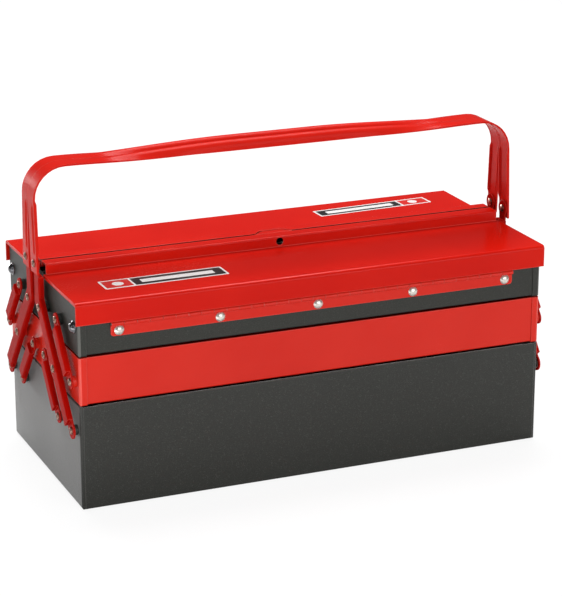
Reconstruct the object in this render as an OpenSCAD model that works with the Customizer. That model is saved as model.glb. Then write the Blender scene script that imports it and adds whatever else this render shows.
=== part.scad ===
// Cantilever tool box: a deep lower box and two storeys of swing-out trays.
// X runs along the box, the front faces -Y, Z is up, the origin is under the middle of the base.

/* [Boxes] */
// Length over the end panels of every box and tray
box_l = 470; // [400:5:600]
// Depth of the closed box over its front and rear walls
box_d = 216; // [196:2:260]
// Height of the lower box up to its rim
base_h = 100.5; // [85:0.5:140]
// Height of a middle tray
middle_h = 46.3; // [42:0.1:60]
// Height of a top tray
top_h = 50.6; // [46:0.1:65]
// Air between a tray and the rim that it stands over
stack_gap = 0.8; // [0.5:0.1:0.9]
// Air between the front and the rear trays
centre_gap = 1.2; // [0.8:0.1:1.8]

/* [Sheet metal] */
// Thickness of the folded main sheets, lids and hinge leaves
sheet = 1; // [0.8:0.1:1.2]
// Thickness of the end panels of the trays
end_sheet = 0.8; // [0.6:0.1:1]
// Thickness of the end panels of the lower box
base_end_sheet = 1.2; // [1.1:0.1:1.4]
// Outer radius of the upright corner bends
corner_r = 3; // [2.5:0.1:4]
// Outer radius of the bends along a floor
floor_r = 2.6; // [2:0.1:3.5]
// Length of a tray end panel's flange over the main sheet
lap = 7.6; // [6:0.1:12]
// Length of the lower box's hidden flange behind its main sheet
base_lap = 12; // [8:0.5:20]
// Air in a lapped or butted seam
seam_gap = 0.1; // [0.05:0.01:0.2]
// Height of the folded hem along a rim
hem_h = 8; // [5:0.5:12]

/* [Lids] */
// Lid past the front wall of the box
lid_out = 2.4; // [2.2:0.1:3]
// Lid past the end panels of the box
lid_past_end = 2.5; // [1.5:0.1:4]
// Height of the lid's front flange
lid_flange_h = 21; // [19:0.5:30]
// Air between a lid and the rim of its tray
lid_gap = 0.3; // [0.2:0.1:0.6]
// Bend radius at the lid's front edge
lid_r = 3.6; // [2:0.1:5]
// Height of the raised ridge where the lids meet
ridge_h = 10.2; // [9.6:0.1:12]
// Distance from the middle of the box to a ridge's outer wall
ridge_in = 15; // [12:0.5:20]
// Bend radius along the top of a ridge
ridge_r = 1.5; // [1.1:0.1:2.5]
// Height of the turned-down edge of a ridge
ridge_lip = 5; // [3:0.5:6]
// Height of the turned-down edge at the ends of a lid
end_lip = 3; // [2:0.5:5]
// Diameter of the padlock hole through the ridges
lock_d = 7.5; // [5:0.5:7.5]
// Height of the padlock hole above the lid
lock_up = 5.3; // [5:0.1:5.3]
// Length of the locking tongue along the ridge
tongue_l = 38; // [30:1:60]
// Reach of the locking tongue past the middle of the box
tongue_reach = 7.4; // [5:0.1:9]
// Air around the locking tongue
tongue_gap = 1; // [0.6:0.1:1.5]
// Reach of the tongue's welded tab under the top of the front ridge
tongue_tab = 8; // [5:0.5:10]

/* [Piano hinges] */
// Length of a piano hinge
hinge_l = 408; // [360:2:460]
// Number of knuckles of one hinge
knuckles = 33; // [15:2:41]
// Diameter of the hinge pin
pin_d = 2; // [1.6:0.1:2.2]
// Wall of a rolled knuckle
knuckle_wall = 0.95; // [0.7:0.05:1.1]
// Gap between neighbouring knuckles
knuckle_gap = 0.4; // [0.3:0.1:0.6]
// Air between the knuckles and the lid's flange above them
hinge_air = 0.3; // [0.2:0.1:0.5]
// Corner radius of the leaf on the tray
leaf_r = 3; // [1:0.5:4]
// Height of the leaf on the tray below the hinge pin
leaf_h = 12; // [11:0.5:16]
// Height of the leaf inside the lid above the hinge pin
lid_leaf_h = 15; // [8:0.5:17]
// Number of rivets through the tray leaf
hinge_rivets = 5; // [3:1:7]
// Distance from an end of the leaf to its first rivet
hinge_rivet_in = 8; // [7:0.5:20]
// Diameter of a hinge rivet's domed head
hinge_head_d = 9.4; // [8:0.1:10]
// Height of a hinge rivet's domed head
hinge_head_h = 2.6; // [1.5:0.1:3]
// Diameter of a hinge rivet's shank
hinge_shank_d = 4.6; // [3:0.1:5]

/* [Linkage] */
// Distance from the outer wall to the outer row of pivots
pivot_in = 10.5; // [9:0.5:14]
// Distance from the middle of the box to the inner row of pivots
inner_in = 17.5; // [16.5:0.5:24]
// Height of a tray's pivots above its underside
pivot_up = 21.8; // [16:0.1:26]
// Air between the lid's end and the arms
arm_gap = 1.5; // [1:0.1:3]
// Thickness of the pressed arms
arm_sheet = 1.5; // [1.2:0.1:2]
// Depth of the pressed channel of an arm
arm_depth = 5; // [4.5:0.5:6]
// Width of a short link
link_w = 13; // [11:0.5:16]
// Width of a long arm
arm_w = 16; // [14:0.5:18]
// Edge radius of a pressed channel
press_r = 2.2; // [2.1:0.1:3]
// Distance from a pivot to the square end of the channel
eye_in = 8; // [7:0.5:11]
// Diameter of a pivot rivet's shank
rivet_d = 5; // [4:0.1:5.5]
// Radial running clearance of the pivots and hinge pins
fit = 0.05; // [0.02:0.01:0.1]
// Diameter of a pivot rivet's head
rivet_head_d = 7.4; // [6.5:0.1:9]
// Thickness of a pivot rivet's head
rivet_head_h = 1.4; // [1:0.1:2]
// Outer diameter of the spacer behind an arm
spacer_d = 10.4; // [8:0.1:10.8]
// Diameter of the chromed stud on a top tray's end
stud_d = 12; // [8:0.5:16]
// Height of the chromed stud
stud_h = 4.6; // [3:0.1:6]
// Height of the chromed stud above the top tray's underside
stud_up = 26; // [18:0.5:34]
// Distance from the outer wall to the chromed stud
stud_in = 12; // [10:0.5:20]

/* [Handles] */
// Height of the rivet that joins handle and arm above the lid
joint_up = 11.7; // [11:0.1:20]
// Distance from the middle of the box to that rivet
joint_in = 13; // [12:0.5:16]
// Straight run of a long arm past its top pivot
arm_past = 8; // [4:0.5:10]
// Length of the single sheet that carries a long arm on to the handle's rivet
neck_l = 12; // [11:0.5:13]
// Overall height of the box over its handles
handle_top = 310; // [295:0.1:340]
// Rise of the grip over the corners of the handle
grip_rise = 5.6; // [2:0.1:9]
// Width of the handle strip
handle_w = 18; // [16:0.5:20]
// Thickness of the handle strip
handle_sheet = 1.5; // [1.2:0.1:2]
// Half of the air between the two handles
handle_gap = 0.2; // [0.2:0.1:0.6]
// Outer radius of the handle's corners
handle_r = 31; // [20:1:32]
// Length over which the flat strip curls into the grip
curl_l = 170; // [80:5:180]
// Turn of each side of the rolled grip in degrees
curl_angle = 88; // [60:2:90]
// Radius of the rolled grip to the middle of its sheet
grip_r = 5.7; // [5:0.1:6.5]
// Width of the flat blank in the middle of the grip
grip_w = 24.4; // [20:0.2:28]
// Depth of the turned-in edges of a handle leg
leg_edge = 1.5; // [1:0.1:1.5]
// Height of the pressed rib on a handle leg
rib_h = 0.9; // [0.5:0.1:1.2]
// Width of the pressed rib on a handle leg
rib_w = 7; // [5:0.5:9]

/* [Hidden] */
$fn = 48;
eps = 0.01;

half_l = box_l / 2;
half_d = box_d / 2;
lap_step = end_sheet + seam_gap;
tray_w = half_d - centre_gap / 2;
tray_y = -half_d + tray_w / 2;
level = middle_h + stack_gap;
middle_z = base_h + stack_gap;
top_z = middle_z + level;
rim_z = top_z + top_h;

pivot_z1 = middle_z + pivot_up;
pivot_z0 = pivot_z1 - level;
pivot_z2 = pivot_z1 + level;
outer_y = -half_d + pivot_in;
link_reach = (half_d - pivot_in - inner_in) / 2;
mid_y = outer_y + link_reach;
inner_y = mid_y + link_reach;
arm_foot = [outer_y, pivot_z0];
arm_mid = [mid_y, pivot_z1];
arm_high = [inner_y, pivot_z2];
lower_foot = [mid_y, pivot_z0];
lower_head = [inner_y, pivot_z1];
upper_foot = [outer_y, pivot_z1];
upper_head = [mid_y, pivot_z2];
base_pivots = [arm_foot, lower_foot];
middle_pivots = [upper_foot, arm_mid, lower_head];
top_pivots = [upper_head, arm_high];

lid_l = box_l + 2 * lid_past_end;
lid_y = half_d + lid_out;
lid_under = rim_z + lid_gap;
lid_top = lid_under + sheet;
flange_z = lid_top - lid_flange_h;
ridge_top = lid_top + ridge_h;
ridge_edge = centre_gap / 2;
lock_z = lid_top + lock_up;

knuckle_d = pin_d + 2 * fit + 2 * knuckle_wall;
hinge_z = flange_z - knuckle_d / 2 - hinge_air;
hinge_y = -lid_y + sheet + seam_gap;
wall_face = -half_d + lap_step;
knuckle_pitch = hinge_l / knuckles;

arm_x = half_l + lid_past_end + arm_gap;
web_x = arm_x + arm_depth;
bore_r = rivet_d / 2 + fit;
joint = [-joint_in, lid_top + joint_up];
arm_dir = (arm_high - arm_foot) / norm(arm_high - arm_foot);
arm_bend = arm_high + arm_past * arm_dir;
eye_r = arm_w / 2;
arm_angle = atan2(arm_dir[1], arm_dir[0]);
knob_grow = 0.6;
joint_angle = atan2(joint[1] - arm_bend[1], joint[0] - arm_bend[0]);

strip_bead = 0.25;
handle_y = -handle_gap - handle_w / 2;
handle_x = web_x + seam_gap + strip_bead + handle_sheet;
strip_top = handle_top - grip_rise;
corner_x = handle_x - handle_r;
corner_z = strip_top - handle_r;
leg_top = [handle_y, corner_z];
grip_rings = 18;
corner_cuts = 8;

RED = [0.80, 0.08, 0.05];
GREY = [0.26, 0.26, 0.25];
STEEL = [0.78, 0.78, 0.76];

// ---- shared forms ----

// Stands a flat drawing up across the box (its x to Y, its y to Z) and runs it along X.
module along_x(length) {
    rotate([90, 0, 90])
        translate([0, 0, -length / 2])
            linear_extrude(length)
                children();
}

// Runs a flat drawing (its x to X, its y to Z) along Y.
module along_y(length) {
    rotate([90, 0, 0])
        translate([0, 0, -length / 2])
            linear_extrude(length)
                children();
}

module rear() {
    mirror([0, 1, 0])
        children();
}

module left() {
    mirror([1, 0, 0])
        children();
}

module both_ends() {
    children();
    left()
        children();
}

// Upright rectangle whose two lower corners are rounded, standing on its middle.
module round_floor(w, h, r) {
    translate([-w / 2, r])
        square([w, h - r]);
    translate([-w / 2 + r, 0])
        square([w - 2 * r, h]);
    for (s = [-1, 1])
        translate([s * (w / 2 - r), r])
            circle(r);
}

module round_plan(l, w, r) {
    square([l - 2 * r, w], center = true);
    square([l, w - 2 * r], center = true);
    for (sx = [-1, 1], sy = [-1, 1])
        translate([sx * (l / 2 - r), sy * (w / 2 - r)])
            circle(r);
}

// Open-topped trough of bent sheet seen from its end.
module trough(w, h, r, t) {
    difference() {
        round_floor(w, h, r);
        translate([0, t])
            round_floor(w - 2 * t, h, max(r - t, 0.2));
    }
}

module pan_block(l, w, h, rc, rf) {
    intersection() {
        linear_extrude(h)
            round_plan(l, w, rc);
        along_x(l + 2)
            round_floor(w, h, rf);
        along_y(w + 2)
            round_floor(l, h, rf);
    }
}

// Right-hand end of a pan whose walls are bent up from one sheet.
module pan_end(l, w, h, rc, rf, t, keep) {
    intersection() {
        difference() {
            pan_block(l, w, h, rc, rf);
            translate([0, 0, t])
                pan_block(l - 2 * t, w - 2 * t, h, rc - t, rf - t);
        }
        translate([l / 2 - keep, -w, -1])
            cube([keep + 1, 2 * w, h + 2]);
    }
}

// Hole along X through a right-hand end, arm and handle at a pivot.
module end_bore(p, r) {
    start = half_l - corner_r - base_lap;
    translate([start, p[0], p[1]])
        rotate([0, 90, 0])
            cylinder(r = r, h = handle_x + rivet_head_h - start);
}

// ---- lower box ----

module lower_box_shell() {
    keep = corner_r + seam_gap;
    color(GREY) {
        along_x(box_l - 2 * (corner_r + 2 * seam_gap))
            trough(box_d, base_h, floor_r, sheet);
        for (s = [-1, 1])
            along_x(box_l - 2 * (keep + base_lap + 2))
                translate([s * (half_d - 1.5 * sheet), base_h - hem_h / 2])
                    square([sheet + eps, hem_h], center = true);
    }
}

module lower_box_end() {
    hidden_w = box_d - 2 * (sheet + seam_gap);
    color(GREY)
        difference() {
            union() {
                pan_end(box_l, box_d, base_h, corner_r, floor_r, base_end_sheet, corner_r + seam_gap);
                translate([half_l - corner_r - base_lap / 2 + 1, 0, sheet + seam_gap])
                    along_x(base_lap)
                        trough(hidden_w, base_h - 2 * sheet, floor_r - sheet, end_sheet);
                translate([half_l - 1.5 * base_end_sheet, 0, base_h - hem_h / 2])
                    cube([base_end_sheet + eps, box_d - 4 * corner_r, hem_h], center = true);
            }
            for (p = base_pivots, s = [-1, 1])
                end_bore([s * p[0], p[1]], bore_r);
        }
}

// ---- trays ----

module tray_shell(z, h) {
    w = tray_w - 2 * lap_step;
    run = box_l - 2 * (corner_r + seam_gap);
    translate([0, tray_y, z]) {
        translate([0, 0, lap_step])
            along_x(run)
                trough(w, h - lap_step, floor_r - lap_step + sheet / 2, sheet);
        for (s = [-1, 1])
            translate([0, s * (w / 2 - 1.5 * sheet), h - hem_h / 2])
                cube([run, sheet + eps, hem_h], center = true);
    }
}

module tray_end(z, h, pivots) {
    difference() {
        translate([0, tray_y, z]) {
            pan_end(box_l, tray_w, h, corner_r, floor_r, end_sheet, lap);
            translate([half_l - 1.5 * end_sheet, 0, h - hem_h / 2])
                cube([end_sheet + eps, tray_w - 4 * corner_r, hem_h], center = true);
        }
        for (p = pivots)
            end_bore(p, bore_r);
    }
}

module middle_shell() {
    color(RED)
        tray_shell(middle_z, middle_h);
}

module middle_end() {
    color(RED)
        tray_end(middle_z, middle_h, middle_pivots);
}

module top_shell() {
    color(GREY)
        difference() {
            tray_shell(top_z, top_h);
            hinge_rivet_places()
                rotate([90, 0, 0])
                    cylinder(d = hinge_shank_d + 2 * fit, h = 4 * sheet, center = true);
        }
}

module top_end() {
    color(GREY)
        difference() {
            tray_end(top_z, top_h, top_pivots);
            end_bore(stud_place(), bore_r);
        }
}

// ---- lids ----

// The lid's outline across the box without its thickness taken out.
module lid_block(inset) {
    r = max(lid_r - inset, 0.3);
    rr = max(ridge_r - inset, 0.3);
    low = flange_z - (inset > 0 ? 1 : 0);
    edge = -lid_y + inset;
    wall = -ridge_in + inset;
    union() {
        translate([edge + r, low])
            square([-ridge_edge - edge - r, lid_top - inset - low]);
        translate([edge, low])
            square([lid_y - ridge_in, lid_top - inset - low - r]);
        translate([edge + r, lid_top - inset - r])
            circle(r);
        translate([wall, low])
            square([-ridge_edge - inset - wall, ridge_top - inset - low - rr]);
        translate([wall + rr, low])
            square([-ridge_edge - inset - wall - rr, ridge_top - inset - low]);
        translate([wall + rr, ridge_top - inset - rr])
            circle(rr);
    }
}

// Half-wave bump of the locking tongue: reach past the middle at a place along the ridge.
function tongue_side(x, grow) =
    let (flat = tongue_l / 4 + grow, edge = tongue_l / 2 + grow, a = abs(x))
    a < flat ? 1 : a > edge ? 0 : 0.5 + 0.5 * cos(180 * (a - flat) / (edge - flat));

// Plan of the tongue from a straight edge at low, grown by the air around it.
module tongue_plan(grow, low) {
    steps = 36;
    run = tongue_l / 2 + grow;
    high = tongue_reach + grow;
    top = [for (i = [0 : steps]) let (x = -run + 2 * run * i / steps)
        [x, ridge_edge + (high - ridge_edge) * tongue_side(x, grow)]];
    polygon(concat([[-run, low]], top, [[run, low]]));
}

// Way of the padlock's shackle, along Y about the middle.
module lock_hole(length) {
    translate([0, 0, lock_z])
        rotate([90, 0, 0])
            cylinder(d = lock_d, h = length, center = true);
}

module lid_shell() {
    difference() {
        along_x(lid_l)
            difference() {
                lid_block(0);
                lid_block(sheet);
                translate([-ridge_in + sheet, flange_z - 1])
                    square([ridge_in, ridge_top - ridge_lip - flange_z + 1]);
            }
        both_ends()
            translate([half_l, -ridge_in, lid_top])
                cube([lid_l, ridge_in, ridge_h + 1]);
        translate([0, -ridge_in, 0])
            lock_hole(4 * sheet);
    }
    both_ends()
        translate([lid_l / 2 - sheet / 2, 0, 0])
            along_x(sheet)
                intersection() {
                    lid_block(0);
                    translate([-lid_y, lid_top - end_lip])
                        square([lid_y - ridge_in, end_lip]);
                }
}

module front_lid() {
    color(RED)
        difference() {
            lid_shell();
            translate([-tongue_l / 2, -ridge_edge - sheet - eps, ridge_top - ridge_lip - 1])
                cube([tongue_l, 2 * sheet, ridge_lip + 1 - sheet]);
        }
}

// Locking tongue: a stepped plate welded under the front ridge's top and flush with it past the edge.
module lid_tongue() {
    root = -ridge_edge + seam_gap;
    tab_w = tongue_l - 8 * sheet;
    tab_top = ridge_top - sheet - seam_gap;
    color(RED) {
        translate([0, 0, ridge_top - sheet])
            linear_extrude(sheet)
                tongue_plan(0, root);
        difference() {
            union() {
                translate([-tab_w / 2, root, tab_top - sheet / 2])
                    cube([tab_w, -root, sheet]);
                translate([-tab_w / 2, -tongue_tab, tab_top - sheet])
                    cube([tab_w, tongue_tab, sheet]);
            }
            lock_hole(4 * tongue_tab);
        }
    }
}

module rear_lid() {
    color(RED)
        rear()
            difference() {
                lid_shell();
                translate([0, 0, lid_top])
                    mirror([0, 1, 0])
                        linear_extrude(ridge_h + 1)
                            tongue_plan(tongue_gap, -tongue_reach);
            }
}

// ---- piano hinges ----

module hinge_rivet_places() {
    run = hinge_l - 2 * hinge_rivet_in;
    for (i = [0 : hinge_rivets - 1])
        translate([-run / 2 + run * i / (hinge_rivets - 1), wall_face, rivet_line()])
            children();
}

function rivet_line() = hinge_z - knuckle_d / 2 - (leaf_h - knuckle_d / 2) / 2 + hinge_air;

// Every second knuckle of a hinge, counted from one end.
module knuckle_row(first) {
    for (i = [first : 2 : knuckles - 1])
        translate([-hinge_l / 2 + knuckle_pitch * i + knuckle_gap / 2, hinge_y, hinge_z])
            rotate([0, 90, 0])
                cylinder(d = knuckle_d, h = knuckle_pitch - knuckle_gap);
}

module knuckle_blocks(first, low, high, front, back) {
    for (i = [first : 2 : knuckles - 1])
        translate([-hinge_l / 2 + knuckle_pitch * i + knuckle_gap / 2, front, low])
            cube([knuckle_pitch - knuckle_gap, back - front, high - low]);
}

module pin_bore() {
    translate([-hinge_l / 2 - 1, hinge_y, hinge_z])
        rotate([0, 90, 0])
            cylinder(r = pin_d / 2 + fit, h = hinge_l + 2);
}

module tray_leaf() {
    low = hinge_z - leaf_h;
    high = hinge_z - knuckle_d / 2 - knuckle_gap;
    color(RED)
        difference() {
            union() {
                translate([0, wall_face - sheet / 2, low])
                    along_y(sheet)
                        round_floor(hinge_l, high - low, leaf_r);
                knuckle_row(0);
                knuckle_blocks(0, high - 1, hinge_z, wall_face - sheet, wall_face);
            }
            pin_bore();
            hinge_rivet_places()
                rotate([90, 0, 0])
                    cylinder(d = hinge_shank_d + 2 * fit, h = 4 * sheet, center = true);
        }
}

module lid_leaf() {
    front = -lid_y + sheet + seam_gap / 2;
    low = hinge_z + knuckle_d / 2 + knuckle_gap;
    color(RED)
        difference() {
            union() {
                translate([-hinge_l / 2, front, low])
                    cube([hinge_l, sheet, hinge_z + lid_leaf_h - low]);
                knuckle_row(1);
                knuckle_blocks(1, hinge_z, low + 1, front, front + sheet);
            }
            pin_bore();
        }
}

module hinge_pin() {
    color(STEEL)
        translate([-hinge_l / 2, hinge_y, hinge_z])
            rotate([0, 90, 0])
                cylinder(d = pin_d, h = hinge_l);
}

// Domed head standing on the face z = 0.
module dome(d, h) {
    ball = (d * d / 4 + h * h) / (2 * h);
    rotate_extrude()
        intersection() {
            translate([0, h - ball])
                circle(ball, $fn = 96);
            square([d, h + 1]);
        }
}

module hinge_rivet_row() {
    tail_d = hinge_shank_d + 2.4;
    color(STEEL)
        hinge_rivet_places()
            rotate([90, 0, 0]) {
                translate([0, 0, sheet])
                    dome(hinge_head_d, hinge_head_h);
                translate([0, 0, -sheet - 0.5])
                    cylinder(d = hinge_shank_d, h = 2 * sheet + 1);
                translate([0, 0, -2 * sheet])
                    cylinder(d = tail_d, h = sheet);
            }
}

// ---- linkage ----

// Moves a piece drawn along its own x, with its back on z = 0, onto the line from p to q.
module on_line(x, p, q) {
    turn = atan2(q[1] - p[1], q[0] - p[0]);
    translate([x, p[0], p[1]])
        rotate([90, 0, 90])
            rotate([0, 0, turn])
                children();
}

// Solid bar with rounded outer edges, back at z = 0, from x = 0.
module pressed_bar(length, w, depth, r) {
    rotate([0, 90, 0])
        rotate([0, 0, 90])
            translate([0, 0, 0])
                linear_extrude(length)
                    mirror([0, 1])
                        translate([0, -depth])
                            round_floor(w, depth, r);
}

module short_link(p, q) {
    span = norm(q - p);
    bar = span - 2 * eye_in;
    t = arm_sheet;
    color(RED)
        on_line(arm_x, p, q)
            difference() {
                union() {
                    linear_extrude(t) {
                        circle(d = link_w);
                        translate([span, 0])
                            circle(d = link_w);
                        translate([0, -link_w / 2])
                            square([span, link_w]);
                    }
                    translate([eye_in, 0, 0])
                        pressed_bar(bar, link_w, arm_depth, press_r);
                }
                translate([eye_in + 2 * t, 0, -eps])
                    pressed_bar(bar - 4 * t, link_w - 2 * t, arm_depth - t, press_r - t);
                for (x = [0, span])
                    translate([x, 0, -1])
                        cylinder(r = bore_r, h = arm_depth + 2);
            }
}

// Round boss where a pressed bar bends, a little wider than the bar.
module pressed_knob(w, depth, r) {
    rotate_extrude()
        intersection() {
            mirror([0, 1])
                translate([0, -depth])
                    round_floor(w + 2 * knob_grow, depth, r);
            square([w, depth]);
        }
}

// The bent bar of a long arm, w wide and depth deep, cut square at both ends.
module arm_path(w, depth, r, start, stop) {
    on_line(arm_x, arm_foot, arm_bend)
        translate([start, 0, 0])
            pressed_bar(norm(arm_bend - arm_foot) - start, w, depth, r);
    on_line(arm_x, arm_bend, joint)
        pressed_bar(norm(joint - arm_bend) - stop, w, depth, r);
    on_line(arm_x, arm_bend, joint)
        pressed_knob(w, depth, r);
}

// Flat back of a long arm across the box, from the round eye at its foot to where its channel stops.
module arm_plate() {
    side = arm_w / 2 - knob_grow;
    along = [cos(arm_angle), sin(arm_angle)];
    up = [cos(joint_angle), sin(joint_angle)];
    mitre = side / cos((joint_angle - arm_angle) / 2);
    mean = (arm_angle + joint_angle) / 2;
    corner = mitre * [-sin(mean), cos(mean)];
    end = joint - (neck_l + seam_gap) * up;
    polygon([
        arm_foot + side * [-along[1], along[0]], arm_bend + corner, end + side * [-up[1], up[0]],
        end - side * [-up[1], up[0]], arm_bend - corner, arm_foot - side * [-along[1], along[0]]]);
    translate(arm_foot)
        circle(eye_r);
}

// Single sheet that carries a long arm's outer face on to the handle's rivet.
module arm_neck() {
    w = arm_w - 2 * press_r;
    on_line(web_x - arm_sheet + seam_gap, joint, arm_bend)
        linear_extrude(arm_sheet - 2 * seam_gap) {
            circle(eye_r);
            translate([0, -w / 2])
                square([neck_l + arm_sheet, w]);
        }
}

module long_arm() {
    t = arm_sheet;
    color(RED)
        difference() {
            union() {
                arm_path(arm_w, arm_depth, press_r, eye_in, neck_l);
                translate([arm_x, 0, 0])
                    rotate([90, 0, 90])
                        linear_extrude(t)
                            arm_plate();
                arm_neck();
            }
            translate([-eps, 0, 0])
                arm_path(arm_w - 2 * t, arm_depth - t, press_r - t, eye_in + 2 * t, neck_l + 2 * t);
            for (p = [arm_foot, arm_mid, arm_high, joint])
                end_bore(p, bore_r);
        }
}

// Tubular rivet along X from inside a wall to the face that its head lies on.
module tube_rivet(p, wall_in, face) {
    tail_h = 1;
    hollow_d = 0.5 * rivet_d;
    color(STEEL)
        translate([0, p[0], p[1]])
            rotate([0, 90, 0])
                difference() {
                    union() {
                        translate([0, 0, wall_in - tail_h - seam_gap])
                            cylinder(d = rivet_head_d, h = tail_h);
                        translate([0, 0, wall_in - tail_h])
                            cylinder(d = rivet_d, h = face - wall_in + tail_h + 1);
                        translate([0, 0, face + seam_gap])
                            dome(rivet_head_d, rivet_head_h);
                    }
                    translate([0, 0, face - 1])
                        cylinder(d = hollow_d, h = 2 + rivet_head_h);
                }
}

module spacer(p, stop) {
    color(STEEL)
        translate([half_l + fit, p[0], p[1]])
            rotate([0, 90, 0])
                difference() {
                    cylinder(d = spacer_d, h = stop - half_l - 2 * fit);
                    translate([0, 0, -1])
                        cylinder(r = bore_r, h = arm_depth + lid_past_end + arm_gap + 2);
                }
}

function link_face() = arm_x + arm_sheet;

module base_rivets() {
    wall_in = half_l - base_end_sheet;
    for (p = base_pivots)
        tube_rivet(p, wall_in, link_face());
}

module middle_rivets() {
    wall_in = half_l - end_sheet;
    tube_rivet(upper_foot, wall_in, link_face());
    tube_rivet(lower_head, wall_in, link_face());
    tube_rivet(arm_mid, wall_in, web_x);
}

module top_rivets() {
    wall_in = half_l - end_sheet;
    tube_rivet(upper_head, wall_in, link_face());
    tube_rivet(arm_high, wall_in, web_x);
}

module base_spacers() {
    for (p = base_pivots)
        spacer(p, arm_x);
}

module middle_spacers() {
    spacer(upper_foot, arm_x);
    spacer(lower_head, arm_x);
    spacer(arm_mid, web_x - arm_sheet);
}

module top_spacers() {
    spacer(upper_head, arm_x);
    spacer(arm_high, web_x - arm_sheet);
}

function stud_place() = [-half_d + stud_in, top_z + stud_up];

module end_stud() {
    p = stud_place();
    color(STEEL)
        translate([0, p[0], p[1]])
            rotate([0, 90, 0]) {
                translate([0, 0, half_l + fit])
                    dome(stud_d, stud_h);
                translate([0, 0, half_l - end_sheet - 1])
                    cylinder(d = rivet_d, h = end_sheet + 2);
                translate([0, 0, half_l - end_sheet - 1.5])
                    cylinder(d = rivet_head_d, h = 1);
            }
}

// ---- handles ----

function ease(u) = let (v = max(0, min(1, u))) v * v * (3 - 2 * v);

// Places across the flat strip at which a cut has its points, as shares of half its width.
strip_marks = let (edge = 1 - 2 * handle_sheet / handle_w, top = rib_w / handle_w, foot = top + 0.13)
    [-1, -edge, -(edge + foot) / 2, -foot, -top, -top / 2, 0, top / 2, top, foot, (edge + foot) / 2, edge, 1];

// Point of a strip bent about its middle, at s along it and n outside its middle line.
function bent(s, n, turn) =
    let (a = min(abs(s) / grip_r * 180 / PI, turn), rest = abs(s) - grip_r * a * PI / 180, d = s < 0 ? -1 : 1)
    [d * ((grip_r + n) * sin(a) + rest * cos(a)), (grip_r + n) * cos(a) - grip_r - rest * sin(a)];

// One closed cut of the strip: w wide, bent by turn, with the leg's rib and turned-in edges.
function strip_cut(w, turn, rib, edge) =
    let (t = handle_sheet / 2, last = len(strip_marks) - 1)
    concat(
        [for (m = strip_marks) bent(m * w / 2, t + (abs(m) * handle_w <= rib_w + eps ? rib : 0), turn)],
        [bent(w / 2, -t - edge, turn), bent(strip_marks[last - 1] * w / 2, -t - edge, turn)],
        [for (i = [last - 1 : -1 : 1]) bent(strip_marks[i] * w / 2, -t, turn)],
        [bent(strip_marks[1] * w / 2, -t - edge, turn), bent(-w / 2, -t - edge, turn)]);

// Shares of a leg from its foot up, each with its share of the rib and of the turned-in edges.
leg_marks = [[0, 0, 0], [0.24, 0, 0], [0.3, 1, 1], [0.6, 1, 1], [0.88, 1, 1], [0.94, 0, 1], [0.99, 0, 0]];
least_turn = 0.05;

// Stations along one half of the handle, from the foot of the leg to the middle of the grip.
// Each is [x, y, z, tilt of the outside from straight up, width, turn, rib, edge].
half_stations = let (mid_r = handle_r - handle_sheet / 2, foot = joint - [0, handle_w / 2]) concat(
    [for (m = leg_marks) let (p = foot + m[0] * (leg_top - foot))
        [handle_x - handle_sheet / 2, p[0], p[1], 90, handle_w, 0,
            rib_h * m[1], strip_bead + (leg_edge - strip_bead) * m[2]]],
    [for (a = [90 : -90 / corner_cuts : 0])
        [corner_x + mid_r * sin(a), handle_y, corner_z + mid_r * cos(a), a, handle_w, 0, 0, strip_bead]],
    [for (i = [1 : grip_rings]) let (x = corner_x * (1 - i / grip_rings), u = ease((corner_x - x) / curl_l))
        [x, handle_y, strip_top - handle_sheet / 2 + grip_rise * u, 0,
            handle_w + (grip_w - handle_w) * u * u, max(curl_angle * u, least_turn), 0, strip_bead]]);

function mirror_station(q) = [-q[0], q[1], q[2], -q[3], q[4], q[5], q[6], q[7]];

module strip_sweep() {
    count = len(half_stations);
    stations = concat(half_stations, [for (i = [count - 2 : -1 : 0]) mirror_station(half_stations[i])]);
    cuts = [for (q = stations) [for (c = strip_cut(q[4], q[5], q[6], q[7]))
        [q[0] + c[1] * sin(q[3]), q[1] + c[0], q[2] + c[1] * cos(q[3])]]];
    points = len(cuts[0]);
    rings = len(cuts);
    sides = [for (i = [0 : rings - 2], j = [0 : points - 1])
        let (a = i * points + j, b = i * points + (j + 1) % points)
        for (tri = [[a, b + points, b], [a, a + points, b + points]]) tri];
    base = (rings - 1) * points;
    last = len(strip_marks) - 1;
    under = points - 2;
    cap = concat(
        [for (i = [1 : last - 2]) each [[i, i + 1, under - 1 - i], [i, under - 1 - i, under - i]]],
        [[last, last + 1, last + 2], [last, last + 2, last + 3], [last - 1, last, last + 3]],
        [[0, 1, under - 1], [0, under - 1, under], [0, under, under + 1]]);
    polyhedron([for (c = cuts) each c],
        concat(sides, cap, [for (tri = cap) [base + tri[2], base + tri[1], base + tri[0]]]));
}

module handle() {
    color(RED)
        difference() {
            strip_sweep();
            both_ends()
                end_bore(joint, bore_r);
        }
}

module handle_rivet() {
    tube_rivet(joint, web_x - arm_sheet + seam_gap, handle_x);
}

// ---- pieces ----

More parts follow.
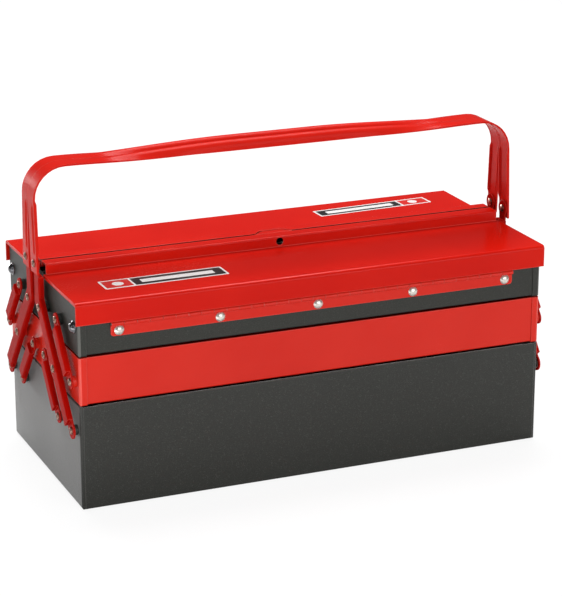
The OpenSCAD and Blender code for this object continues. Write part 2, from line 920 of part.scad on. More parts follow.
lower_box_shell();
left() lower_box_end();  // lower_box_left_end
lower_box_end();  // lower_box_right_end
middle_shell();  // front_middle_shell
left() middle_end();  // front_middle_left_end
middle_end();  // front_middle_right_end
rear() middle_shell();  // rear_middle_shell
rear() left() middle_end();  // rear_middle_left_end
rear() middle_end();  // rear_middle_right_end
top_shell();  // front_top_shell
left() top_end();  // front_top_left_end
top_end();  // front_top_right_end
rear() top_shell();  // rear_top_shell
rear() left() top_end();  // rear_top_left_end
rear() top_end();  // rear_top_right_end
front_lid();
rear_lid();
lid_tongue();  // front_lid_tongue
tray_leaf();  // front_tray_leaf
rear() tray_leaf();  // rear_tray_leaf
lid_leaf();  // front_lid_leaf
rear() lid_leaf();  // rear_lid_leaf
hinge_pin();  // front_hinge_pin
rear() hinge_pin();  // rear_hinge_pin
hinge_rivet_row();  // front_hinge_rivets
rear() hinge_rivet_row();  // rear_hinge_rivets
handle();  // front_handle
rear() handle();  // rear_handle
left() long_arm();  // front_left_long_arm
long_arm();  // front_right_long_arm
rear() left() long_arm();  // rear_left_long_arm
rear() long_arm();  // rear_right_long_arm
both_ends() handle_rivet();  // front_handle_rivets
rear() both_ends() handle_rivet();  // rear_handle_rivets
left() short_link(lower_foot, lower_head);  // front_left_lower_link
short_link(lower_foot, lower_head);  // front_right_lower_link
rear() left() short_link(lower_foot, lower_head);  // rear_left_lower_link
rear() short_link(lower_foot, lower_head);  // rear_right_lower_link
left() short_link(upper_foot, upper_head);  // front_left_upper_link
short_link(upper_foot, upper_head);  // front_right_upper_link
rear() left() short_link(upper_foot, upper_head);  // rear_left_upper_link
rear() short_link(upper_foot, upper_head);  // rear_right_upper_link
both_ends() { base_rivets(); rear() base_rivets(); }  // lower_box_rivets
both_ends() middle_rivets();  // front_middle_rivets
rear() both_ends() middle_rivets();  // rear_middle_rivets
both_ends() top_rivets();  // front_top_rivets
rear() both_ends() top_rivets();  // rear_top_rivets
both_ends() { base_spacers(); rear() base_spacers(); }  // lower_box_spacers
both_ends() middle_spacers();  // front_middle_spacers
rear() both_ends() middle_spacers();  // rear_middle_spacers
both_ends() top_spacers();  // front_top_spacers
rear() both_ends() top_spacers();  // rear_top_spacers
both_ends() end_stud();  // front_end_studs
rear() both_ends() end_stud();  // rear_end_studs
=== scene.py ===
import bpy
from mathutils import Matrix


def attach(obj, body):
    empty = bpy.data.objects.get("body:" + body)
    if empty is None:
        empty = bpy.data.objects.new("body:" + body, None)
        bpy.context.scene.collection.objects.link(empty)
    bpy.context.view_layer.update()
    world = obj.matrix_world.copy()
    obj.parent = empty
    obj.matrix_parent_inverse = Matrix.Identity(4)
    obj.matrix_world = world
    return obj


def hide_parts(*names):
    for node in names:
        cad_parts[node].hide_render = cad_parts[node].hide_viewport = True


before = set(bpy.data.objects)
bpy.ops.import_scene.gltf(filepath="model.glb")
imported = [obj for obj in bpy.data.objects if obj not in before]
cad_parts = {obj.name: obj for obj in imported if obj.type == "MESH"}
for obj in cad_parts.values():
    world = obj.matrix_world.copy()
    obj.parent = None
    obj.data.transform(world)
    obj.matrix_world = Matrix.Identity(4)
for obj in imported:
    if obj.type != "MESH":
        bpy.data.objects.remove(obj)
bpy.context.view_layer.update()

import bpy
from math import asin, cos, pi, radians, sin
from mathutils import Matrix, Vector

print("frame loaded,", len(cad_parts), "nodes")


# camera at the photograph's angle: metres, degrees, and millimetres for the lens
cameraSettings = {
    "place": (-0.82344, -1.98355, 0.84204), "tilt": 71.985, "turn": -22.730,
    "lens": 139.48, "sensor": 36, "nearest": 0.05, "farthest": 60}


def addCamera(s):
    bpy.ops.object.camera_add(
        location=s["place"], rotation=(radians(s["tilt"]), 0, radians(s["turn"])))
    camera = bpy.context.object
    camera.name = "photoCamera"
    camera.data.sensor_width = s["sensor"]
    camera.data.lens = s["lens"]
    camera.data.clip_start = s["nearest"]
    camera.data.clip_end = s["farthest"]
    bpy.context.scene.camera = camera


addCamera(cameraSettings)
bpy.context.scene.view_settings.view_transform = "Standard"
print("camera set")


# shader maths: a wire is one socket, and an expression on wires adds its Math nodes
class Wire:
    def __init__(self, finish, socket):
        self.finish = finish
        self.socket = socket

    def maths(self, operation, other, swap=False):
        first, second = (other, self) if swap else (self, other)
        return self.finish.add("ShaderNodeMath", {"operation": operation}, {0: first, 1: second})

    def __add__(self, other):
        return self.maths("ADD", other)

    def __sub__(self, other):
        return self.maths("SUBTRACT", other)

    def __rsub__(self, other):
        return self.maths("SUBTRACT", other, swap=True)

    def __mul__(self, other):
        return self.maths("MULTIPLY", other)

    def __lt__(self, other):
        return self.maths("LESS_THAN", other)

    def __gt__(self, other):
        return self.maths("GREATER_THAN", other)

    def __abs__(self):
        return self.finish.add("ShaderNodeMath", {"operation": "ABSOLUTE"}, {0: self})

    def largest(self, other):
        return self.maths("MAXIMUM", other)

    __radd__ = __add__
    __rmul__ = __mul__


# how a fold's rounded normal is sampled, and how like the flat one it is on flats and on bends
foldSettings = {"samples": 8, "flat": 0.995, "bent": 0.9}


# the node tree of one material, or of the world
class Finish:
    def __init__(self, owner):
        self.owner = owner
        owner.use_nodes = True
        self.tree = owner.node_tree
        self.tree.nodes.clear()

    def add(self, kind, settings, sockets, output=0):
        node = self.tree.nodes.new(kind)
        for key, value in settings.items():
            setattr(node, key, value)
        for key, value in sockets.items():
            if isinstance(value, Wire):
                self.tree.links.new(value.socket, node.inputs[key])
            else:
                node.inputs[key].default_value = value
        return Wire(self, node.outputs[output]) if node.outputs else node

    def place(self):
        return self.add("ShaderNodeTexCoord", {}, {}, "Object")

    def axis(self, place, letter):
        return self.add("ShaderNodeSeparateXYZ", {}, {"Vector": place}, letter)

    def noise(self, place, scale, detail=2.0, rough=0.5):
        return self.add("ShaderNodeTexNoise", {}, {
            "Vector": place, "Scale": scale, "Detail": detail, "Roughness": rough}, "Fac")

    # carries a band of a wire's values, which are cut off outside it, over to a range
    def spread(self, wire, band, reach=(0.0, 1.0)):
        return self.add("ShaderNodeMapRange", {}, {
            "Value": wire, "From Min": band[0], "From Max": band[1],
            "To Min": reach[0], "To Max": reach[1]})

    def blend(self, mask, first, second):
        return self.add("ShaderNodeMix", {"data_type": "RGBA"}, {0: mask, 6: first, 7: second}, 2)

    # normal of sheet whose sharp folds show a small radius
    def rounded(self, fold):
        return self.add("ShaderNodeBevel", {"samples": foldSettings["samples"]}, {"Radius": fold})

    # 0 on flats, rising to 1 along a fold, where a painted highlight lightens the coat
    def foldHighlight(self, rounded):
        flat = self.add("ShaderNodeNewGeometry", {}, {}, "Normal")
        alike = self.add(
            "ShaderNodeVectorMath", {"operation": "DOT_PRODUCT"}, {0: flat, 1: rounded}, "Value")
        return self.spread(alike, (foldSettings["flat"], foldSettings["bent"]))

    # 1 on the upright corners of a tray, inside their radius, where a painted highlight goes
    def cornered(self, place, corner):
        return (abs(self.axis(place, "X")) > corner[0]) * (abs(self.axis(place, "Y")) > corner[1])

    # 1 in the narrow gap where the two lids' ridges meet, which is painted with shade
    def seamed(self, place, seam):
        across = abs(self.axis(place, "Y") - seam["middle"])
        return (across < seam["half"]) * (self.axis(place, "Z") < seam["top"])

    def relief(self, height, rounded):
        return self.add(
            "ShaderNodeBump", {}, {"Height": height, "Distance": 1.0, "Normal": rounded})

    def bump(self, height):
        return self.add("ShaderNodeBump", {}, {"Height": height, "Distance": 1.0})

    def surface(self, sockets):
        shader = self.add("ShaderNodeBsdfPrincipled", {}, sockets)
        self.add("ShaderNodeOutputMaterial", {}, {"Surface": shader})
        return self.owner


# stoved red enamel: orange peel, a slight roll of the sheet, a faint change of depth in the coat,
# # painted highlights along folds and on corners, and painted shade in the seam between the lids
redEnamelSettings = {
    "colour": (0.63, 0.010, 0.0030, 1), "deep": (0.57, 0.007, 0.0022, 1),
    "shadow": (0.06, 0.002, 0.001, 1), "edge": (0.85, 0.10, 0.075, 1),
    "cloudScale": 7, "cloudBand": (0.38, 0.62), "dustScale": 1400, "dustShare": 0.35,
    "peelScale": 520, "peelHeight": 0.000012, "rollScale": 11, "rollHeight": 0.00022,
    "rough": 0.24, "roughSpread": 0.06, "roughBand": (0.4, 0.95),
    "gloss": 0.14, "coat": 0.04, "coatRough": 0.06,
    "fold": 0.0012, "foldHighlightShare": 0.55, "corner": None, "cornerHighlightShare": 0.6, "seam": None}


def redEnamel(name, changes):
    s = {**redEnamelSettings, **changes}
    finish = Finish(bpy.data.materials.new(name))
    place = finish.place()
    cloud = finish.noise(place, s["cloudScale"], detail=3)
    peel = finish.noise(place, s["peelScale"], detail=1.5)
    roll = finish.noise(place, s["rollScale"], detail=1)
    dust = finish.noise(place, s["dustScale"], detail=1)
    height = peel * s["peelHeight"] + roll * s["rollHeight"]
    rounded = finish.rounded(s["fold"])
    colour = finish.blend(finish.spread(cloud, s["cloudBand"]), s["deep"], s["colour"])
    # painted highlight along the folds, in the edge colour
    colour = finish.blend(finish.foldHighlight(rounded) * s["foldHighlightShare"], colour, s["edge"])
    if s["corner"]:
        # painted highlight on the tray's upright corners, in the edge colour
        cornerHighlit = finish.cornered(place, s["corner"]) * s["cornerHighlightShare"]
        colour = finish.blend(cornerHighlit, colour, s["edge"])
    # painted shade in the narrow gap between the lids' ridges, in the shadow colour
    if s["seam"]:
        colour = finish.blend(finish.seamed(place, s["seam"]), colour, s["shadow"])
    reach = (s["rough"] - s["roughSpread"], s["rough"] + s["roughSpread"])
    return finish.surface({
        "Base Color": colour,
        "Roughness": finish.spread(cloud + s["dustShare"] * dust, s["roughBand"], reach),
        "Specular IOR Level": s["gloss"],
        "Coat Weight": s["coat"],
        "Coat Roughness": s["coatRough"],
        "Normal": finish.relief(height, rounded)})


# grey powder coat: a fine leathery grain with paler specks on its crests, a dusty sheen, and
# painted highlights along folds and on corners
greyPowderSettings = {
    "colour": (0.024, 0.025, 0.020, 1), "deep": (0.013, 0.014, 0.011, 1),
    "speck": (0.06, 0.061, 0.055, 1), "edge": (0.11, 0.11, 0.10, 1),
    "grainScale": 1150, "grainHeight": 0.00008, "grainBand": (0.35, 0.65),
    "coarseScale": 402.5, "coarseHeight": 0.000048, "coarseShare": 0.4, "speckBand": (0.80, 0.95),
    "rollScale": 10, "rollHeight": 0.0002, "gloss": 0.5, "dusty": 1.0, "dustyRough": 0.3,
    "rough": 0.50, "roughSpread": 0.05, "roughBand": (0.35, 0.65), "cloudScale": 6,
    "fold": 0.0010, "foldHighlightShare": 0.5, "corner": None, "cornerHighlightShare": 1.0}


def greyPowder(name, changes):
    s = {**greyPowderSettings, **changes}
    finish = Finish(bpy.data.materials.new(name))
    place = finish.place()
    cloud = finish.noise(place, s["cloudScale"], detail=3)
    grain = finish.noise(place, s["grainScale"], detail=2.5, rough=0.6)
    coarse = finish.noise(place, s["coarseScale"], detail=2)
    roll = finish.noise(place, s["rollScale"], detail=1)
    height = grain * s["grainHeight"] + coarse * s["coarseHeight"] + roll * s["rollHeight"]
    rounded = finish.rounded(s["fold"])
    specks = finish.spread(grain + s["coarseShare"] * coarse, s["speckBand"])
    colour = finish.blend(finish.spread(grain, s["grainBand"]), s["deep"], s["colour"])
    colour = finish.blend(specks, colour, s["speck"])
    if s["corner"]:
        # painted highlight on the tray's upright corners, in the edge colour
        cornerHighlit = finish.cornered(place, s["corner"]) * s["cornerHighlightShare"]
        colour = finish.blend(cornerHighlit, colour, s["edge"])
    reach = (s["rough"] - s["roughSpread"], s["rough"] + s["roughSpread"])
    return finish.surface({
        # painted highlight along the folds, in the edge colour
        "Base Color": finish.blend(finish.foldHighlight(rounded) * s["foldHighlightShare"], colour, s["edge"]),
        "Specular IOR Level": s["gloss"],
        "Roughness": finish.spread(cloud, s["roughBand"], reach),
        "Sheen Weight": s["dusty"],
        "Sheen Roughness": s["dustyRough"],
        "Normal": finish.relief(height, rounded)})


# plating: rolled steel with fine turning marks and a little haze, which is rougher
platingSettings = {
    "colour": (0.84, 0.81, 0.75, 1), "haze": (0.68, 0.65, 0.59, 1), "metal": 1.0,
    "rough": 0.2, "smoother": 0.06, "rougher": 0.14, "roughBand": (0.45, 0.85),
    "hazeScale": 420, "hazeHeight": 0.00003, "hazeBand": (0.4, 0.7),
    "scratchScale": 3200, "scratchHeight": 0.000008, "scratchShare": 0.3}


def plating(name, changes):
    s = {**platingSettings, **changes}
    finish = Finish(bpy.data.materials.new(name))
    place = finish.place()
    haze = finish.noise(place, s["hazeScale"], detail=3)
    scratch = finish.noise(place, s["scratchScale"], detail=2)
    reach = (s["rough"] - s["smoother"], s["rough"] + s["rougher"])
    return finish.surface({
        "Base Color": finish.blend(finish.spread(haze, s["hazeBand"]), s["colour"], s["haze"]),
        "Metallic": s["metal"],
        "Roughness": finish.spread(haze + s["scratchShare"] * scratch, s["roughBand"], reach),
        "Normal": finish.bump(scratch * s["scratchHeight"] + haze * s["hazeHeight"])})


# metres from the middle beyond which a tray's end and wall bend into its upright corner
trayCorner = (0.2327, 0.1058)
lidRed = redEnamel("lidRed", {
    "gloss": 0.11, "seam": {"middle": 0.0005, "half": 0.00175, "top": 0.2103}})
trayRed = redEnamel("trayRed", {
    "corner": trayCorner, "rollScale": 8, "gloss": 0.2,
    "colour": (0.66, 0.022, 0.011, 1), "deep": (0.62, 0.017, 0.008, 1)})
# painted shade: the arms' red is mixed darker than the lids' and trays'
shadedArmRed = redEnamel("shadedArmRed", {
    "rollHeight": 0.00005, "peelHeight": 0.00001, "fold": 0.0006, "gloss": 0.012, "coat": 0.0,
    "colour": (0.44, 0.004, 0.0016, 1), "deep": (0.36, 0.003, 0.0012, 1)})
handleRed = redEnamel("handleRed", {
    "rollHeight": 0.00003, "rough": 0.22, "fold": 0.0004, "gloss": 0.05, "coat": 0.0,
    "colour": (0.62, 0.015, 0.008, 1), "deep": (0.56, 0.011, 0.006, 1)})
boxGrey = greyPowder("boxGrey", {})
trayGrey = greyPowder("trayGrey", {
    "corner": trayCorner, "dusty": 0.0, "gloss": 0.34,
    "colour": (0.031, 0.032, 0.027, 1), "deep": (0.019, 0.020, 0.016, 1)})
brightSteel = plating("brightSteel", {
    "rough": 0.24, "metal": 0.75, "colour": (0.80, 0.77, 0.70, 1)})
pinSteel = plating("pinSteel", {"rough": 0.3})
pivotSteel = plating("pivotSteel", {
    "rough": 0.3, "colour": (0.40, 0.22, 0.17, 1), "haze": (0.22, 0.11, 0.085, 1)})
studChrome = plating("studChrome", {
    "rough": 0.16, "colour": (0.20, 0.20, 0.21, 1), "haze": (0.13, 0.13, 0.14, 1)})
print("finishes mixed")


# the first words found in a frame node's name give its finish
nodeFinishes = [
    ("_lid_leaf", trayRed), ("_tray_leaf", trayRed), ("_lid", lidRed), ("tongue", lidRed),
    ("middle_shell", trayRed), ("middle_left_end", trayRed), ("middle_right_end", trayRed),
    ("_link", shadedArmRed), ("_long_arm", shadedArmRed),
    ("_handle_rivets", brightSteel), ("_handle", handleRed),
    ("lower_box_shell", boxGrey), ("lower_box_left_end", boxGrey), ("lower_box_right_end", boxGrey),
    ("top_shell", trayGrey), ("top_left_end", trayGrey), ("top_right_end", trayGrey),
    ("lower_box_spacers", boxGrey), ("middle_spacers", trayRed), ("top_spacers", trayGrey),
    ("pin", pinSteel), ("studs", studChrome), ("rivets", brightSteel)]


def coatNodes():
    for name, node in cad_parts.items():
        finish = next(material for part, material in nodeFinishes if part in name)
        for slot in node.material_slots:
            slot.material = finish


coatNodes()
print("frame nodes coated")


def clearSelection():
    bpy.ops.object.select_all(action="DESELECT")


# puts an unshaped object with its own mesh into the scene, selected and active
def placeCopy(name, mesh):
    copied = bpy.data.objects.new(name, mesh)
    bpy.context.scene.collection.objects.link(copied)
    copied.select_set(True)
    bpy.context.view_layer.objects.active = copied


def coat(piece, finish):
    piece.data.materials.clear()
    piece.data.materials.append(finish)


def finishPiece(piece, name, finish, body):
    piece.name = name
    piece.data.name = name
    coat(piece, finish)
    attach(piece, body)


# a piece from copies of frame nodes, its loose triangles merged and shaded smooth up to an angle
def smoothPiece(name, nodes, finish, body, angle):
    clearSelection()
    for node in nodes:
        placeCopy(name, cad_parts[node].data.copy())
    if len(nodes) > 1:
        bpy.ops.object.join()
    piece = bpy.context.view_layer.objects.active
    bpy.ops.mesh.customdata_custom_splitnormals_clear()
    bpy.ops.object.mode_set(mode="EDIT")
    bpy.ops.mesh.select_all(action="SELECT")
    bpy.ops.mesh.remove_doubles(threshold=0.00001)
    bpy.ops.mesh.normals_make_consistent(inside=False)
    bpy.ops.object.mode_set(mode="OBJECT")
    bpy.ops.object.shade_smooth_by_angle(angle=radians(angle))
    finishPiece(piece, name, finish, body)
    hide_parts(*nodes)
    return piece


# millimetres: the ridge's middle edge lies between low and high, and is drawn back by step
ridgeEdgeSettings = {
    "front": {"low": -1.7, "high": -0.5, "step": -0.4, "notchRun": 0, "notchDepth": 0},
    "rear": {"low": 0.5, "high": 1.7, "step": 1.6, "notchRun": 20.5, "notchDepth": 9.5},
    "above": 204.5}


# opens the gap between the lids, and round the front one's tongue, so that it reads as a seam
def openRidgeGap(piece, side):
    s = ridgeEdgeSettings[side]
    clearSelection()
    bpy.context.view_layer.objects.active = piece
    piece.select_set(True)
    bpy.ops.object.mode_set(mode="EDIT")
    bpy.ops.mesh.select_mode(type="VERT")
    bpy.ops.mesh.select_all(action="DESELECT")
    bpy.ops.object.mode_set(mode="OBJECT")
    for point in piece.data.vertices:
        x, y, z = point.co * 1000
        inEdge = s["low"] < y < s["high"]
        inNotch = abs(x) < s["notchRun"] and y < s["notchDepth"]
        point.select = (inEdge or inNotch) and z > ridgeEdgeSettings["above"]
    bpy.ops.object.mode_set(mode="EDIT")
    bpy.ops.transform.translate(value=(0, s["step"] / 1000, 0))
    bpy.ops.object.mode_set(mode="OBJECT")


for side in ("front", "rear"):
    smoothPiece(side + "RolledHandle", [side + "_handle"], handleRed, side + "_arms", angle=32)
    lidNodes = [side + "_lid", "front_lid_tongue"] if side == "front" else [side + "_lid"]
    lid = smoothPiece(side + "PressedLid", lidNodes, lidRed, side + "_lid_panel", angle=30)
    openRidgeGap(lid, side)
print("handles and lids shaded")


# turns a profile of (radius, height) pairs in millimetres about Z
def turned(name, profile, steps=40):
    clearSelection()
    bpy.ops.mesh.primitive_plane_add(size=0.001)
    piece = bpy.context.object
    piece.name = name
    bpy.ops.object.mode_set(mode="EDIT")
    bpy.ops.mesh.select_mode(type="VERT")
    bpy.ops.mesh.select_all(action="SELECT")
    bpy.ops.mesh.merge(type="CENTER")
    here = (0.0, 0.0)
    for index, (radius, height) in enumerate(profile):
        step = ((radius - here[0]) / 1000, 0, (height - here[1]) / 1000)
        if index == 0:
            bpy.ops.transform.translate(value=step)
        else:
            bpy.ops.mesh.extrude_region_move(TRANSFORM_OT_translate={"value": step})
        here = (radius, height)
    bpy.ops.mesh.select_all(action="SELECT")
    bpy.ops.mesh.spin(steps=steps, angle=2 * pi, center=(0, 0, 0), axis=(0, 0, 1))
    bpy.ops.mesh.select_all(action="SELECT")
    bpy.ops.mesh.remove_doubles(threshold=0.000005)
    bpy.ops.mesh.normals_make_consistent(inside=False)
    bpy.ops.object.mode_set(mode="OBJECT")
    bpy.ops.object.shade_smooth_by_angle(angle=radians(38))
    return piece


# sets copies of turned templates on their places and joins them into one piece
def setTurned(name, sites, finish, body, node):
    clearSelection()
    for template, place, turn in sites:
        mesh = template.data.copy()
        mesh.transform(Matrix.Translation(Vector(place) / 1000) @ turn)
        placeCopy(name, mesh)
    bpy.ops.object.join()
    piece = bpy.context.view_layer.objects.active
    finishPiece(piece, name, finish, body)
    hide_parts(node)


# points of a dome from its rim at (width / 2, seat) up to its crown
def dome(width, height, seat, steps):
    ball = (width * width / 4 + height * height) / (2 * height)
    span = asin(min(1, width / 2 / ball))
    angles = [span * (1 - i / steps) for i in range(steps + 1)]
    return [(ball * sin(angle), seat + height - ball + ball * cos(angle)) for angle in angles]


# turns that point a template's head out of one side of the box
facing = {
    "left": Matrix.Rotation(radians(-90), 4, "Y"), "right": Matrix.Rotation(radians(90), 4, "Y"),
    "front": Matrix.Rotation(radians(90), 4, "X"), "rear": Matrix.Rotation(radians(-90), 4, "X")}


# tubular rivet: a rolled lip round a hollow outside, a flat clenched head inside
# seats are the outer faces of links, arms and handles, walls the inner faces that the grip ends on
pivotSettings = {
    "head": 3.7, "shank": 2.5, "hollow": 1.25,
    "linkSeat": 240.5, "armSeat": 244, "handleSeat": 245.85,
    "boxWall": 233.8, "trayWall": 234.2, "armFace": 242.6,
    "boxLinks": [(-97.5, 76), (-57.5, 76)], "middleLinks": [(-97.5, 123.1), (-17.5, 123.1)],
    "middleArms": [(-57.5, 123.1)], "topLinks": [(-57.5, 170.2)], "topArms": [(-17.5, 170.2)],
    "handles": [(-13, 212)]}


def pivotProfile(grip):
    head, shank, hollow = (pivotSettings[key] for key in ("head", "shank", "hollow"))
    return [
        (0, -grip - 1.1), (head - 0.4, -grip - 1.1), (head, -grip - 0.8), (head, -grip - 0.1),
        (shank, -grip - 0.1), (shank, 0.1), (head, 0.1), (head, 0.45), (head - 0.25, 0.95),
        (head - 0.8, 1.3), (head - 1.4, 1.48), (hollow + 0.55, 1.5), (hollow + 0.2, 1.35),
        (hollow, 1.05), (hollow, -0.9), (hollow - 0.25, -1.05), (0, -1.1)]


def turnedPivot(name, seat, wall):
    return turned(name, pivotProfile(pivotSettings[seat] - pivotSettings[wall]))


# one rivet on the right and one on the left for each place, in front for sign 1 and behind for -1
def pivotSites(template, seat, places, signs):
    x = pivotSettings[seat]
    sites = []
    for y, z in pivotSettings[places]:
        for sign in signs:
            sites.append((template, (x, sign * y, z), facing["right"]))
            sites.append((template, (-x, sign * y, z), facing["left"]))
    return sites


linkPivot = turnedPivot("linkPivot", "linkSeat", "trayWall")
basePivot = turnedPivot("basePivot", "linkSeat", "boxWall")
armPivot = turnedPivot("armPivot", "armSeat", "trayWall")
handlePivot = turnedPivot("handlePivot", "handleSeat", "armFace")
setTurned("lowerBoxPivots", pivotSites(basePivot, "linkSeat", "boxLinks", (1, -1)),
          pivotSteel, "lower_box", "lower_box_rivets")
for side, sign in (("front", 1), ("rear", -1)):
    setTurned(side + "MiddlePivots",
              pivotSites(linkPivot, "linkSeat", "middleLinks", (sign,))
              + pivotSites(armPivot, "armSeat", "middleArms", (sign,)),
              pivotSteel, side + "_middle_tray", side + "_middle_rivets")
    setTurned(side + "TopPivots",
              pivotSites(linkPivot, "linkSeat", "topLinks", (sign,))
              + pivotSites(armPivot, "armSeat", "topArms", (sign,)),
              pivotSteel, side + "_top_tray", side + "_top_rivets")
    setTurned(side + "HandlePivots", pivotSites(handlePivot, "handleSeat", "handles", (sign,)),
              pivotSteel, side + "_arms", side + "_handle_rivets")
print("pivot rivets turned")


# domed hinge rivet through the tray's wall and the leaf, clenched inside
hingeRivetSettings = {
    "run": 392, "count": 5, "face": 107.1, "z": 170.3,
    "foot": [(0, -2), (3.2, -2), (3.5, -1.8), (3.5, -1), (2.3, -1), (2.3, 1),
             (4.7, 1), (4.75, 1.15)],
    "width": 9.5, "height": 2.4, "seat": 1.25, "steps": 9}

# chrome buffer stud at each end of a top tray
studSettings = {
    "face": 235.05, "y": 96, "z": 174.4,
    "foot": [(0, -3.3), (3.2, -3.3), (3.6, -3), (3.6, -2.4), (2.5, -2.4), (2.5, 0.05),
             (6, 0.05), (6, 0.7), (5.8, 1.0), (5.4, 1.15)],
    "width": 10.4, "height": 3.4, "seat": 1.25, "steps": 10}


def turnedDome(name, s):
    return turned(name, s["foot"] + dome(s["width"], s["height"], s["seat"], s["steps"]))


def hingeRivetSites(template, side, sign, s):
    spots = [s["run"] * (i / (s["count"] - 1) - 0.5) for i in range(s["count"])]
    return [(template, (x, sign * s["face"], s["z"]), facing[side]) for x in spots]


def studSites(template, sign, s):
    return [(template, (s["face"], sign * s["y"], s["z"]), facing["right"]),
            (template, (-s["face"], sign * s["y"], s["z"]), facing["left"])]


hingeRivet = turnedDome("hingeRivet", hingeRivetSettings)
stud = turnedDome("stud", studSettings)
for side, sign in (("front", -1), ("rear", 1)):
    setTurned(side + "HingeRivetRow", hingeRivetSites(hingeRivet, side, sign, hingeRivetSettings),
              brightSteel, side + "_top_tray", side + "_hinge_rivets")
for side, sign in (("front", -1), ("rear", 1)):
    setTurned(side + "BufferStuds", studSites(stud, sign, studSettings),
              studChrome, side + "_top_tray", side + "_end_studs")
for template in (linkPivot, basePivot, armPivot, handlePivot, hingeRivet, stud):
    bpy.data.objects.remove(template)
print("hinge rivets and studs turned")


# plain label on each lid: a pale border round a short red block with a dot and a long black one
# with a strip, in millimetres along and across the label from its middle
labelSettings = {
    "front": {
        "middle": (-137.6, -66.4), "turn": 0.6, "size": (121.5, 24.5), "split": -31.5,
        "redSide": -1, "stripAt": 13.5, "strip": (72, 9), "dotAt": -45, "dot": 11},
    "rear": {
        "middle": (141.8, 78.6), "turn": 2.6, "size": (126.5, 20.5), "split": 31,
        "redSide": 1, "stripAt": -15, "strip": (75, 8), "dotAt": 46, "dot": 10}}
labelStock = {
    "z": 200.32, "thick": 0.14, "corner": 1.6, "cornerSteps": 5, "border": 2.0,
    "pale": (0.80, 0.80, 0.79, 1),
    "black": ((0.012, 0.012, 0.013, 1), (0.02, 0.02, 0.021, 1)),
    "red": ((0.60, 0.012, 0.008, 1), (0.66, 0.018, 0.012, 1)),
    "smearScale": 60, "smearHeight": 0.00004, "smearBand": (0.35, 0.65),
    "grainScale": 900, "grainHeight": 0.000006, "roughBand": (0.3, 0.7), "rough": (0.26, 0.4)}


def labelFilm(side):
    s = {**labelStock, **labelSettings[side]}
    finish = Finish(bpy.data.materials.new(side + "LabelFilm"))
    place = finish.place()
    fromMiddleX = finish.axis(place, "X") - s["middle"][0] / 1000
    fromMiddleY = finish.axis(place, "Y") - s["middle"][1] / 1000
    cosine, sine = cos(radians(s["turn"])), sin(radians(s["turn"]))
    along = fromMiddleX * cosine + fromMiddleY * sine
    across = fromMiddleY * cosine - fromMiddleX * sine
    smear = finish.noise(place, s["smearScale"], detail=3)
    grain = finish.noise(place, s["grainScale"], detail=2)
    smeared = finish.spread(smear, s["smearBand"])
    halfLength, halfWidth = (extent / 2000 - s["border"] / 1000 for extent in s["size"])
    border = (abs(along) > halfLength).largest(abs(across) > halfWidth)
    split = s["split"] / 1000
    inRed = along > split if s["redSide"] > 0 else along < split
    divider = abs(along - split) < s["border"] / 2000
    inStrip = abs(along - s["stripAt"] / 1000) < s["strip"][0] / 2000
    strip = inStrip * (abs(across) < s["strip"][1] / 2000)
    fromDot = along - s["dotAt"] / 1000
    dot = (fromDot * fromDot + across * across) < (s["dot"] / 2000) ** 2
    pale = border.largest(strip.largest(dot).largest(divider))
    black = finish.blend(smeared, *s["black"])
    red = finish.blend(smeared, *s["red"])
    return finish.surface({
        "Base Color": finish.blend(pale, finish.blend(inRed, black, red), s["pale"]),
        "Roughness": finish.spread(smear, s["roughBand"], s["rough"]),
        "Normal": finish.bump(grain * s["grainHeight"] + smear * s["smearHeight"])})


def addLabel(side):
    s = {**labelStock, **labelSettings[side]}
    clearSelection()
    bpy.ops.mesh.primitive_plane_add(size=1)
    piece = bpy.context.object
    bpy.ops.object.mode_set(mode="EDIT")
    bpy.ops.mesh.select_all(action="SELECT")
    bpy.ops.transform.resize(value=(s["size"][0] / 1000, s["size"][1] / 1000, 1))
    bpy.ops.mesh.bevel(offset=s["corner"] / 1000, segments=s["cornerSteps"], affect="VERTICES")
    bpy.ops.mesh.select_all(action="SELECT")
    bpy.ops.mesh.extrude_region_move(TRANSFORM_OT_translate={"value": (0, 0, s["thick"] / 1000)})
    bpy.ops.mesh.select_all(action="SELECT")
    bpy.ops.mesh.normals_make_consistent(inside=False)
    bpy.ops.object.mode_set(mode="OBJECT")
    middle = Vector((*s["middle"], s["z"])) / 1000
    piece.data.transform(Matrix.Translation(middle) @ Matrix.Rotation(radians(s["turn"]), 4, "Z"))
    finishPiece(piece, side + "Label", labelFilm(side), side + "_lid_panel")


for side in ("front", "rear"):
    addLabel(side)
print("labels laid")


# pale floor that the camera sees as white, and metal a little, and that keeps the object's shadow
floorSettings = {
    "size": 14, "z": -0.0004, "colour": (0.72, 0.72, 0.72, 1),
    "white": 1.1, "glow": 0.8, "mirrored": 0.1}


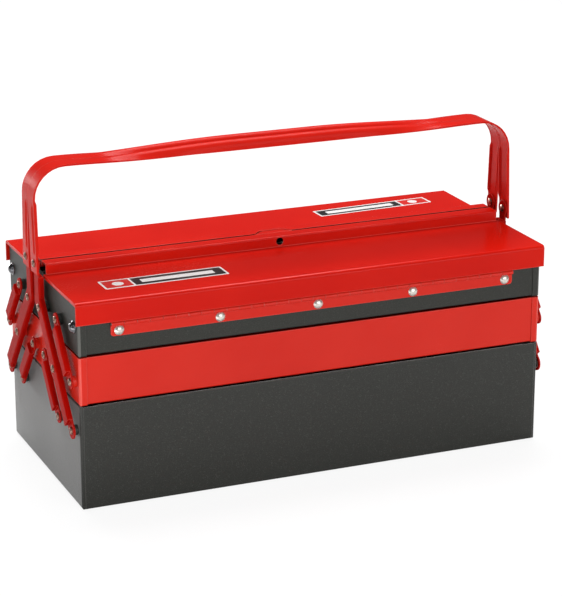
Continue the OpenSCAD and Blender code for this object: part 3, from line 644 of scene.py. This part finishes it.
def addFloor(s):
    clearSelection()
    bpy.ops.mesh.primitive_plane_add(size=s["size"], location=(0, 0, s["z"]))
    floor = bpy.context.object
    floor.name = "studioFloor"
    finish = Finish(bpy.data.materials.new("floorPaper"))
    pale = finish.add("ShaderNodeBsdfDiffuse", {}, {"Color": s["colour"]})
    white = finish.add("ShaderNodeEmission", {}, {"Color": (1, 1, 1, 1), "Strength": s["white"]})
    seen = finish.add("ShaderNodeLightPath", {}, {}, "Is Camera Ray")
    mirrored = finish.add("ShaderNodeLightPath", {}, {}, "Is Glossy Ray")
    share = seen.largest(mirrored * s["mirrored"]) * s["glow"]
    mixed = finish.add("ShaderNodeMixShader", {}, {0: share, 1: pale, 2: white})
    finish.add("ShaderNodeOutputMaterial", {}, {"Surface": mixed})
    coat(floor, finish.owner)


addFloor(floorSettings)


# soft studio light: a key overhead, a wide fill in front, weak boxes at the left and low behind,
# and a narrow card lying on the floor, which shows as a gleam on the left corners
lightAim = (0, 0, 0.1)
lightSettings = [
    {"name": "keyBox", "place": (0.2, 1.0, 2.3), "size": (1.8, 1.4), "power": 66},
    {"name": "frontFill", "place": (0.5, -2.9, 1.15), "size": (3.2, 1.7), "power": 47},
    {"name": "leftBox", "place": (-2.6, -0.6, 0.9), "size": (0.6, 1.2), "power": 4},
    {"name": "floorCard", "place": (-0.62, -0.26, 0.004), "size": (0.12, 0.6), "power": 1.4,
     "lying": 67.5},
    {"name": "backBox", "place": (-0.62, 2.9, 0.25), "size": (0.9, 0.4), "power": 30}]


def addLight(s):
    bpy.ops.object.light_add(type="AREA", location=s["place"])
    light = bpy.context.object
    light.name = s["name"]
    light.data.shape = "RECTANGLE"
    light.data.size, light.data.size_y = s["size"]
    light.data.energy = s["power"]
    if "lying" in s:        # face up, turned by this angle, and not seen by the camera
        light.rotation_euler = (pi, 0, radians(s["lying"]))
        light.visible_camera = False
    else:
        aim = Vector(lightAim) - Vector(s["place"])
        light.rotation_euler = aim.to_track_quat("-Z", "Y").to_euler()


for settings in lightSettings:
    addLight(settings)


# the world's light on the object, and what glossy surfaces see of it; the camera sees white
worldSettings = {"level": 0.38, "mirrored": 0.08}


def addWorld(s):
    world = bpy.data.worlds.new("studioWorld")
    bpy.context.scene.world = world
    finish = Finish(world)
    seen = finish.add("ShaderNodeLightPath", {}, {}, "Is Camera Ray")
    mirrored = finish.add("ShaderNodeLightPath", {}, {}, "Is Glossy Ray")
    strength = seen * (1 - s["level"]) + mirrored * (s["mirrored"] - s["level"]) + s["level"]
    light = finish.add("ShaderNodeBackground", {}, {"Color": (1, 1, 1, 1), "Strength": strength})
    finish.add("ShaderNodeOutputWorld", {}, {"Surface": light})


addWorld(worldSettings)
print("floor and lights set")
